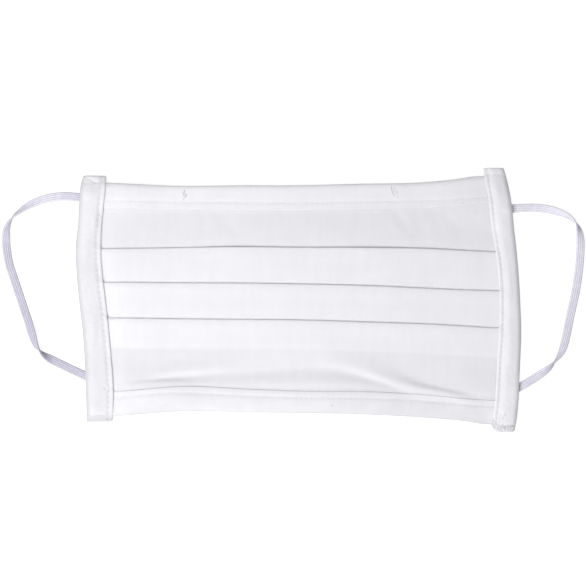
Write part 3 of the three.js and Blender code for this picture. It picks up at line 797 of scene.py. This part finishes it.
def panel_material():
    """White plain woven cotton: brighter where more layers lie behind it, streaked, mottled on the
    chin hem, greyed along its folded edges by painted shade and a little below the last pleat, with painted
    shadows in needle holes and two dark specks, and with the weave and a row of puckers along each hem seam
    in the bump."""
    material, tree = new_material("panel_cotton_white")
    cloth = cloth_place(tree)
    woven = node(tree, "ShaderNodeGroup", {
        "Cloth": cloth, "Threads per mm": 3.0, "Slub": 0.8, "Fuzz": 0.25}, node_tree=weave)
    streaks = calculate(tree, "SUBTRACT", noise(tree, cloth, 1.0, 3.0, (0.34, 0.05, 1.0)), 0.5)
    mottles = calculate(tree, "SUBTRACT", noise(tree, cloth, 0.16, 4.0), 0.56)
    patches = calculate(tree, "MULTIPLY", mottles, mark_at(tree, "chin_hem"))
    shade = calculate(tree, "MULTIPLY_ADD", streaks, 0.8, woven.outputs["Shade"])
    shade = calculate(tree, "MULTIPLY_ADD", patches, 2.6, shade)
    single, backed = blend(tree, shade, *SINGLE_COTTON), blend(tree, shade, *BACKED_COTTON)
    colour = blend(tree, mark_at(tree, "backing"), single, backed)
    # Painted shade along the folded edges, and the greying below the last pleat
    colour = blend(tree, calculate(tree, "MULTIPLY", mark_at(tree, "shade_and_greying"), 0.7), colour, PANEL_SHADE_GREY)
    place = node(tree, "ShaderNodeTexCoord").outputs["Object"]
    flat_place = node(tree, "ShaderNodeVectorMath", {
        0: place, 1: (1.0, 1.0, 0.0)}, operation="MULTIPLY").outputs[0]
    # Painted shadow in each needle hole and slit by the tacks, and the two dark specks
    for x1, y1, x2, y2, width, depth in NEEDLE_SHADOWS_AND_SPECKS:
        mark = capsule(tree, flat_place, (x1, y1), (x2, y2), width)
        colour = blend(tree, calculate(tree, "MULTIPLY", mark, depth), colour, NEEDLE_SHADOW)
    across = node(tree, "ShaderNodeSeparateXYZ", {0: place}).outputs[0]
    wave = calculate(tree, "COSINE", calculate(tree, "MULTIPLY", across, 2 * np.pi / (STITCH_PITCH * MM)))
    puckers = calculate(tree, "MULTIPLY", wave, mark_at(tree, "seam"))
    fine = node(tree, "ShaderNodeBump", {
        "Height": woven.outputs["Height"], "Strength": 0.35, "Distance": 0.00008})
    pucker = node(tree, "ShaderNodeBump", {
        "Height": puckers, "Strength": 0.4, "Distance": 0.00006, "Normal": fine.outputs[0]})
    shader = node(tree, "ShaderNodeBsdfPrincipled", {
        "Base Color": colour, "Roughness": 0.92, "Specular IOR Level": 0.25,
        "Subsurface Weight": 0.5, "Subsurface Radius": (1.0, 1.0, 1.0), "Subsurface Scale": 0.0006,
        "Sheen Weight": 0.12, "Sheen Roughness": 0.6, "Normal": pucker.outputs[0]})
    finish_material(tree, shader)
    return material


def panel_marks(x, y):
    """Named numbers of the panel's places: the cloth behind them, the painted shade on the folded
    edges with the greying below the last pleat, 1 along the hem seams fading over PUCKER_REACH, and 1 on the
    lower hem."""
    seams = [fade(y - line_at(PANEL_LINES, hem, x) - place, PUCKER_REACH)
             for hem, place in HEM_STITCH.items()]
    below_strip = line_at(PANEL_LINES, LOWER_HEM, x) - y
    return {"backing": backing(x, y), "shade_and_greying": shade_and_greying(x, y), "seam": seams[0] + seams[1],
            "chin_hem": step_up(below_strip, 1.0, 4.0)}


line_places = np.linspace(-PANEL_HALF, PANEL_HALF, PANEL_STATIONS)
weave = weave_group()
thread_white = thread_material()
panel_middle = panel_grid()
panel_measure = cloth_measure(panel_middle)
panel_edge = np.minimum(panel_measure, panel_measure[:, -1:] - panel_measure)
panel_front, panel_back = thicken(panel_middle, CLOTH * rounded(panel_edge, 0.35))
panel_x, panel_y = panel_middle[..., 0], panel_middle[..., 1]
panel_uv = np.stack([panel_x, panel_measure], axis=-1)
panel = add_wall("pleated_cloth", panel_front, panel_back, panel_uv, panel_marks(panel_x, panel_y))
panel.data.materials.append(panel_material())
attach(panel, "root")
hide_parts("pleated_panel")
for hem, label in ((UPPER_HEM, "nose"), (LOWER_HEM, "chin")):
    hem_seam(f"{label}_hem_stitches", hem, False)
    hem_seam(f"{label}_hem_bobbin_stitches", hem, True)
tacks = np.array(TACK_STITCHES)
add_threads("nose_hem_tacks", on_hem(tacks[:, 0], tacks[:, 1]), on_hem(tacks[:, 2], tacks[:, 3]),
            np.tile([0.0, 0.0, 1.0], (len(tacks), 1)), TACK_HEIGHT, TACK_THREAD)

# Side casings
# A strip of thick soft white cotton folded round each side edge of the panel and stitched down
# along its inner edge; its ends are folded in. The ends of the ear elastic lie under it.
CASING_STATIONS = 264
CASING_END_ROWS = np.array([0.0, 0.09, 0.2])
CASING_END_GAP = 0.35
GROOVE_LIMIT = 0.35

# How tightly the upper leaf follows the panel below, the reach over which that is evened, and the
# places along Y where the panel's height is looked up
UNDER_HALF = 62.0
UNDER_STEP = 0.25
TAUTNESS = {"edge": 0.2, "middle": 0.006}
EVENED = {"edge": 0.5, "middle": 5.0}

# The seam: how far it lies in from the inner edge and stops short of both ends, its dip and the
# puff outside it, and its needle holes
CASING_STITCH = {-1: 1.8, 1: 1.5}
CASING_SEAM_START = 1.4
CASING_SEAM_END = 1.2
SEAM_DIP = {-1: 0.24, 1: 0.18}
SEAM_REACH = {-1: 0.8, 1: 0.5}
CASING_PUFF = {-1: 0.45, 1: 0.35}
PUFF_REACH = {-1: 7.0, 1: 2.6}
HOLE_DIP = 0.08
HOLE_REACH = 0.6

# The outer fold: its depth and droop, and by what share and from how far in the leaf falls to it
CASING_FOLD = {-1: 0.6, 1: 2.4}
FOLD_DROOP = {-1: 1.6, 1: 1.8}
OUTSIDE_FALL = {-1: 0.1, 1: 0.24}
OUTSIDE_REACH = 5.2

# The ends: their rounding, the share and reach of their fall, and their corners
END_ROUNDING = 0.26
END_FALL = 0.45
END_FALL_REACH = {-1: 7.0, 1: 9.0}
CORNER_REACH = 5.0
# Corner radii: lower inner, lower outer, upper inner, upper outer
CORNERS = {-1: (1.6, 0.8, 1.0, 1.3), 1: (3.2, 1.6, 0.4, 0.5)}

# Painted shade: its reach and strength on the outer fold and at the lower end, and its strength in
# the needle holes; how greyed each casing is at its lower and at its upper end; and the colours
FOLD_SHADE_REACH = 1.1
FOLD_SHADE = {-1: 1.0, 1: 0.1}
END_SHADE_REACH = 2.2
END_SHADE = {-1: 0.4, 1: 0.35}
HOLE_SHADE = 0.32
GREYED = {-1: (0.34, 0.10), 1: (0.0, 0.0)}
CASING_COTTON = ((0.761, 0.754, 0.794, 1), (0.828, 0.823, 0.854, 1))
CASING_SHADE_GREY = (0.55, 0.545, 0.57, 1)

# Dents and swellings of the casings, in the same columns as the panel's faint ones
DENTS = {
    -1: np.array([
        (-81.5, -43.4, 3.4, 3.0, 0, 0.30), (-83.4, 42.0, 3.6, 3.0, 0, 0.25),
        (-80.6, 48.4, 3.2, 1.3, -8, 0.22), (-84.6, 22.0, 9.0, 2.4, 88, 0.18),
        (-82.0, -12.0, 12.0, 2.2, 86, 0.16), (-84.0, 5.0, 6.0, 1.6, 80, -0.12),
        (-77.4, -35.0, 0.9, 0.8, 0, -0.35), (-80.6, -27.0, 5.0, 2.0, 84, -0.10)]),
    1: np.array([
        (83.4, 36.5, 4.0, 2.6, 0, 0.25), (78.6, 51.4, 4.0, 1.2, 8, 0.2),
        (84.0, 8.0, 10.0, 2.0, 92, 0.14), (84.5, -20.0, 9.0, 2.0, 88, 0.14),
        (82.5, -8.0, 5.0, 1.4, 75, -0.10), (79.6, -47.0, 2.2, 1.6, 50, 0.25),
        (83.4, -48.6, 2.2, 1.6, 20, 0.2)]),
}
# Grooves where a layer ends or is folded: start, end, width and height
GROOVES = {
    -1: np.array([
        (-84.6, -45.8, -75.0, -46.2, 0.34, -0.42), (-84.2, -47.2, -76.0, -47.3, 0.30, -0.14),
        (-84.4, 48.4, -81.2, 46.9, 0.30, -0.38), (-86.0, 46.6, -79.6, 46.5, 0.50, -0.12),
        (-84.3, -33.0, -84.2, -42.6, 0.55, -0.16)]),
    1: np.array([
        (74.4, 50.0, 81.8, 49.7, 0.45, -0.16), (81.3, 49.5, 82.2, 47.8, 0.42, -0.45),
        (80.0, -48.2, 82.7, -45.4, 0.26, -0.45), (76.6, -49.6, 85.8, -50.2, 0.50, -0.22)]),
}
# The gathered lower end of the right casing: where it starts and how high its gathers are
GATHER_START = -48.4
GATHER_HEIGHT = 0.13


def grooves(table, x, y):
    """Sum of straight grooves: each is its height, fading with the distance from its middle line
    in its width."""
    total = np.zeros(np.broadcast(x, y).shape)
    for x1, y1, x2, y2, width, height in table:
        length = np.hypot(x2 - x1, y2 - y1)
        share = np.clip(((x - x1) * (x2 - x1) + (y - y1) * (y2 - y1)) / length ** 2, 0, 1)
        away = np.hypot(x - x1 - share * (x2 - x1), y - y1 - share * (y2 - y1))
        total += height * fade(away, width)
    return total


def panel_under(side, at, part):
    """Height of the panel's top under the edge or the middle of a casing: the highest, over all
    points of the panel there, of the point's height less its squared distance along Y times the
    part's tautness; then the mean of that over the reach to be evened, weighted as a cosine bell."""
    x, y, z = np.moveaxis(panel_middle, -1, 0)
    inside = beside_casing(side, x, y) < 1.0
    places = np.linspace(-UNDER_HALF, UNDER_HALF, int(2 * UNDER_HALF / UNDER_STEP) + 1)
    drop = TAUTNESS[part] * (places[:, None] - y[inside][None]) ** 2
    highest = (z[inside][None] + CLOTH / 2 - drop).max(axis=1)
    bell = np.hanning(2 * int(EVENED[part] / UNDER_STEP) + 3)
    return np.interp(at, places, np.convolve(highest, bell / bell.sum(), mode="same"))


def needle_holes(side, table, y, t):
    """1 at each needle hole of a casing's seam, midway between two stitches, and 0 between them:
    the cube of a raised cosine with the stitches' pitch, fading over HOLE_REACH to both sides."""
    first_hole = table[0, 0] + CASING_SEAM_START - (STITCH_PITCH - STITCH_LENGTH) / 2
    wave = np.cos(2 * np.pi * (y - first_hole) / STITCH_PITCH)
    return (0.5 + 0.5 * wave) ** 3 * fade(t - CASING_STITCH[side], HOLE_REACH)


def casing_height(side, table, x, y, t):
    """Height of the upper leaf's middle surface. Its edge lies close on the panel's layers and the
    rest bridges them. It puffs up outside its seam, dips at the seam and at the needle holes, waves
    a little, falls towards the outer fold and both ends, and meets the lower leaf at the ends as a
    quarter round."""
    low = casing_floor(side, y) + LEAF
    close, bridged = panel_under(side, y, "edge"), panel_under(side, y, "middle")
    under = close + (bridged - close) * step_up(t, 0.0, 3.0)
    stack = np.maximum(under - low, 0) + 2 * LEAF_GAP
    off_seam = t - CASING_STITCH[side]
    puff = CASING_PUFF[side] * step_up(off_seam, 0.2, PUFF_REACH[side])
    dip = SEAM_DIP[side] * fade(off_seam, SEAM_REACH[side])
    dip = dip + HOLE_DIP * needle_holes(side, table, y, t)
    wave = 0.04 * np.sin(y / 3.1 + side) + 0.03 * np.sin(y / 1.7 + 0.6 * t)
    cut = grooves(GROOVES[side], x, y)
    outside = np.abs(line_at(table, OUTER, y) - line_at(table, INNER, y)) - t
    fall = OUTSIDE_FALL[side] * step_up(-outside, -OUTSIDE_REACH, 0.0)
    over = (stack + puff) * (1 - fall) - dip + wave + swell(DENTS[side], x, y) + cut
    if side > 0:
        gather = np.sin(2.9 * x + 1.1 * y) * np.sin(1.3 * x - 2.3 * y) + 0.6 * np.sin(4.3 * x + 0.7 * y)
        over = over + GATHER_HEIGHT * gather * step_up(GATHER_START - y, 0.0, 1.6)
    end = np.minimum(y - table[0, 0], table[-1, 0] - y)
    over = np.maximum(over, np.maximum(stack * (1 - fall) - GROOVE_LIMIT, 0.05))
    over = over * (1 - END_FALL * (1 - step_up(end, 0.0, END_FALL_REACH[side])))
    return low + LEAF / 2 + over * rounded(end, END_ROUNDING)


def corner_cut(t, width, inner_radius, outer_radius):
    """How far an end stands back at a distance from the inner edge, with its corners rounded."""
    return (inner_radius * (1 - rounded(t, inner_radius))
            + outer_radius * (1 - rounded(width - t, outer_radius)))


def casing_grid(side, table):
    """The casing's middle surface along Y. Across it runs from the upper leaf's inner edge, over
    the upper leaf, round an oval, drooping outer fold and back along the lower leaf. Near the ends
    the rows are drawn back to round the corners."""
    first, last = table[[0, -1], 0]
    rows = np.linspace(first + CASING_END_GAP, last - CASING_END_GAP, CASING_STATIONS)
    y = np.concatenate([first + CASING_END_ROWS, rows, last - CASING_END_ROWS[::-1]])[:, None]
    inner, outer = line_at(table, INNER, y), line_at(table, OUTER, y)
    depth = CASING_FOLD[side]
    width = np.abs(outer - inner)
    straight = width - LEAF / 2 - depth
    shares = np.concatenate([[0, 0.008, 0.022, 0.045, 0.075], np.linspace(0.11, 1, 28)])
    leaf_t = straight * shares[None]
    top = casing_height(side, table, inner + side * leaf_t, y, leaf_t)
    low = casing_floor(side, y) + LEAF / 2
    angle = np.linspace(np.pi / 2, -np.pi / 2, 18)[1:-1][None]
    fold_t = straight + depth * np.cos(angle)
    fold_z = low + (top[:, -1:] - low) * ((1 + np.sin(angle)) / 2) ** FOLD_DROOP[side]
    t = np.concatenate([leaf_t, fold_t, leaf_t[:, ::-2]], axis=1)
    z = np.concatenate([top, fold_z, np.broadcast_to(low, leaf_t[:, ::-2].shape)], axis=1)
    x = inner + side * t
    radii = CORNERS[side]
    near_low = 1 - step_up(y - table[0, 0], 0.0, CORNER_REACH)
    near_high = 1 - step_up(table[-1, 0] - y, 0.0, CORNER_REACH)
    drawn = y + near_low * corner_cut(t, width, *radii[:2]) - near_high * corner_cut(t, width, *radii[2:])
    return np.stack(np.broadcast_arrays(x, drawn, z), axis=-1)


def casing_material():
    """Thick brushed white cotton: coarser weave, more fuzz, mottled lighter and darker, greyed by
    painted shade on its outer fold, at its lower end and in its needle holes, and greyed along its length.
    """
    material, tree = new_material("casing_cotton_white")
    cloth = cloth_place(tree)
    woven = node(tree, "ShaderNodeGroup", {
        "Cloth": cloth, "Threads per mm": 2.4, "Slub": 0.9, "Fuzz": 1.6}, node_tree=weave)
    mottle = noise(tree, cloth, 0.55, 4.0)
    shade = calculate(tree, "MULTIPLY", woven.outputs["Shade"], 0.4)
    shade = calculate(tree, "MULTIPLY_ADD", mottle, 0.6, shade)
    # Painted shade on the outer fold, at the lower end and in the needle holes, with the greying along the
    # casing
    colour = blend(tree, mark_at(tree, "shade_and_greying"), blend(tree, shade, *CASING_COTTON), CASING_SHADE_GREY)
    soft = node(tree, "ShaderNodeBump", {"Height": mottle, "Strength": 0.5, "Distance": 0.0003})
    fine = node(tree, "ShaderNodeBump", {
        "Height": woven.outputs["Height"], "Strength": 0.4, "Distance": 0.00008, "Normal": soft.outputs[0]})
    shader = node(tree, "ShaderNodeBsdfPrincipled", {
        "Base Color": colour, "Roughness": 0.95, "Specular IOR Level": 0.2, "Sheen Weight": 0.15,
        "Subsurface Weight": 0.5, "Subsurface Radius": (1.0, 1.0, 1.0), "Subsurface Scale": 0.0006,
        "Sheen Roughness": 0.7, "Normal": fine.outputs[0]})
    finish_material(tree, shader)
    return material


def add_casing(name, side, table):
    """Builds one casing and hides the casing it stands in for."""
    middle = casing_grid(side, table)
    measure = cloth_measure(middle)
    from_edge = np.minimum(measure, measure[:, -1:] - measure)
    x, y = middle[..., 0], middle[..., 1]
    end = np.minimum(y - table[0, 0], table[-1, 0] - y)
    thickness = LEAF * rounded(from_edge, 0.5) * rounded(end, 0.6)
    front, back = thicken(middle, thickness)
    if side > 0:
        front, back = front[:, ::-1], back[:, ::-1]
    uv = np.stack([measure, y], axis=-1)
    # Painted shade on the outer fold, at the lower end and in the needle holes, and greying along the casing
    # from its lower to its upper end
    fold_shade = FOLD_SHADE[side] * fade(line_at(table, OUTER, y) - x, FOLD_SHADE_REACH)
    grey_and_shade = np.maximum(fold_shade, END_SHADE[side] * fade(y - table[0, 0], END_SHADE_REACH))
    lengthwise_greying = np.interp(y, table[[0, -1], 0], GREYED[side])
    hole_shade = HOLE_SHADE * needle_holes(side, table, y, np.abs(x - line_at(table, INNER, y)))
    grey_and_shade = np.clip(grey_and_shade + lengthwise_greying + hole_shade, 0, 1)
    casing = add_wall(f"casing_cloth_{name}", front, back, uv[:, ::-side], {"shade_and_greying": grey_and_shade[:, ::-side]})
    casing.data.materials.append(casing_cotton)
    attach(casing, "root")
    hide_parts(f"casing_{name}")


def on_casing(side, table, x, y):
    """Points on the casing's upper face."""
    t = side * (x - line_at(table, INNER, y))
    return np.stack([x, y, casing_height(side, table, x, y, t) + LEAF * 0.42], axis=-1)


def casing_seam(name, side, table, under):
    """The stitches along a casing's inner edge, on the upper face or as the bobbin row below."""
    first, last = table[0, 0] + CASING_SEAM_START, table[-1, 0] - CASING_SEAM_END
    starts, ends = seam_places(first, last, STITCH_PITCH / 2 if under else 0.0)

    def at(y, seed):
        x = line_at(table, INNER, y) + side * CASING_STITCH[side] + 0.06 * np.sin(y * 1.7 + seed)
        if under:
            return np.stack([x, y, casing_floor(side, y) + 0.10], axis=-1)
        return on_casing(side, table, x, y)

    ways = np.tile([0.0, 0.0, -1.0 if under else 1.0], (len(starts), 1))
    return add_threads(name, at(starts, 0.0), at(ends, 0.8), ways)


def loose_stitches(name, side, table, places, height, thickness):
    """Stitches of their own on a casing, each from one place to another."""
    places = np.array(places)
    ways = np.tile([0.0, 0.0, 1.0], (len(places), 1))
    starts = on_casing(side, table, places[:, 0], places[:, 1])
    ends = on_casing(side, table, places[:, 2], places[:, 3])
    return add_threads(name, starts, ends, ways, height, thickness)


casing_cotton = casing_material()
for name, side, table, flat in (
        ("left", -1, LEFT_CASING, (0.0225, 0.098)),
        ("right", 1, RIGHT_CASING, (0.0205, 0.105))):
    add_casing(name, side, table)
    casing_seam(f"casing_stitches_{name}", side, table, False)
    casing_seam(f"casing_bobbin_stitches_{name}", side, table, True)

# Casing ends
# The seam is sewn across both upper ends and sewn back over itself at the right casing's lower
# end, where the folded-in cloth is bunched up and its cut edge is frayed.
# Start and end of each stitch, and how high they stand
BACK_STITCHES = (
    (78.4, -50.0, 78.6, -48.4), (78.8, -48.2, 79.0, -46.6), (79.4, -49.6, 80.6, -48.3),
    (80.8, -48.0, 82.0, -46.8), (82.1, -46.6, 82.9, -45.6), (80.2, -50.6, 81.4, -49.6),
    (81.9, -50.8, 82.9, -49.9), (84.0, -50.9, 84.8, -49.8), (77.6, -49.2, 77.5, -47.6),
)
END_ROWS = {
    -1: ((-85.6, 46.7, -84.0, 46.6), (-83.4, 46.6, -81.8, 46.5), (-81.2, 46.4, -79.9, 46.4)),
    1: ((74.9, 50.2, 76.4, 50.1), (77.0, 50.2, 78.5, 50.0), (79.1, 50.1, 80.6, 49.9)),
}
BACK_HEIGHT = 0.14
END_HEIGHT = {-1: 0.05, 1: 0.06}

# The frayed cut edge: how many threads, how thick, how high and how far down they lie
FRAY_COUNT = 60
FRAY_THREAD = 0.11
FRAY_HEIGHT = 0.22
FRAY_LOWEST = -52.4

loose_stitches("back_stitches", 1, RIGHT_CASING, BACK_STITCHES, BACK_HEIGHT, THREAD)
for name, side, table in (("left", -1, LEFT_CASING), ("right", 1, RIGHT_CASING)):
    loose_stitches(f"end_stitches_{name}", side, table, END_ROWS[side], END_HEIGHT[side], THREAD)

fray = np.random.default_rng(7)
fray_x = fray.uniform(77.6, 85.8, FRAY_COUNT)
cut_bow = np.sin(np.pi * np.clip((fray_x - 76.0) / 11.0, 0, 1))
fray_y = -50.3 - 1.1 * cut_bow + fray.uniform(-0.1, 1.0, FRAY_COUNT)
fray_way = fray.uniform(0, 2 * np.pi, FRAY_COUNT)
fray_length = fray.uniform(0.5, 1.3, FRAY_COUNT)
frays = np.stack([fray_x, fray_y, fray_x + fray_length * np.cos(fray_way),
                  np.maximum(fray_y + fray_length * np.sin(fray_way), FRAY_LOWEST)], axis=1)
loose_stitches("frayed_threads", 1, RIGHT_CASING, frays, FRAY_HEIGHT, FRAY_THREAD)

# Floor and light
# A plain white table that shines to the camera only, one broad soft lamp to the lower left and an
# even white room. Sizes are in metres.
FLOOR_HALF = 2.0
FLOOR_LEVEL = -0.1 * MM
LAMP_PLACE = np.array([-0.30, -0.23, 0.50])
LAMP_SIZE = 0.4
LAMP_ENERGY = 3.72
ROOM_STRENGTH = 0.47

floor_mesh = bpy.data.meshes.new("floor")
floor_mesh.from_pydata(
    [(x * FLOOR_HALF, y * FLOOR_HALF, FLOOR_LEVEL) for x, y in ((-1, -1), (1, -1), (1, 1), (-1, 1))],
    [], [(0, 1, 2, 3)])
floor = bpy.data.objects.new("floor", floor_mesh)
bpy.context.scene.collection.objects.link(floor)
floor_material, floor_tree = new_material("floor_white")
bright = node(floor_tree, "ShaderNodeBsdfPrincipled", {
    "Base Color": (0.30, 0.30, 0.30, 1), "Roughness": 0.9, "Specular IOR Level": 0.0,
    "Emission Color": (1, 1, 1, 1), "Emission Strength": 0.85})
quiet = node(floor_tree, "ShaderNodeBsdfPrincipled", {
    "Base Color": (0.45, 0.45, 0.45, 1), "Roughness": 0.9, "Specular IOR Level": 0.0})
seen = node(floor_tree, "ShaderNodeLightPath").outputs["Is Camera Ray"]
finish_material(floor_tree, node(floor_tree, "ShaderNodeMixShader", {
    0: seen, 1: quiet.outputs[0], 2: bright.outputs[0]}))
floor_mesh.materials.append(floor_material)

lamp_data = bpy.data.lights.new("key_lamp", "AREA")
lamp_data.size = LAMP_SIZE
lamp_data.energy = LAMP_ENERGY
lamp = bpy.data.objects.new("key_lamp", lamp_data)
lamp.location = LAMP_PLACE
lamp.rotation_euler = (
    np.arctan2(np.hypot(LAMP_PLACE[0], LAMP_PLACE[1]), LAMP_PLACE[2]), 0.0,
    np.arctan2(LAMP_PLACE[0], -LAMP_PLACE[1]))
bpy.context.scene.collection.objects.link(lamp)

world = bpy.data.worlds.new("room")
world.use_nodes = True
background = world.node_tree.nodes["Background"]
background.inputs["Color"].default_value = (1.0, 1.0, 1.0, 1)
background.inputs["Strength"].default_value = ROOM_STRENGTH
bpy.context.scene.world = world
bpy.context.scene.view_settings.view_transform = "Standard"
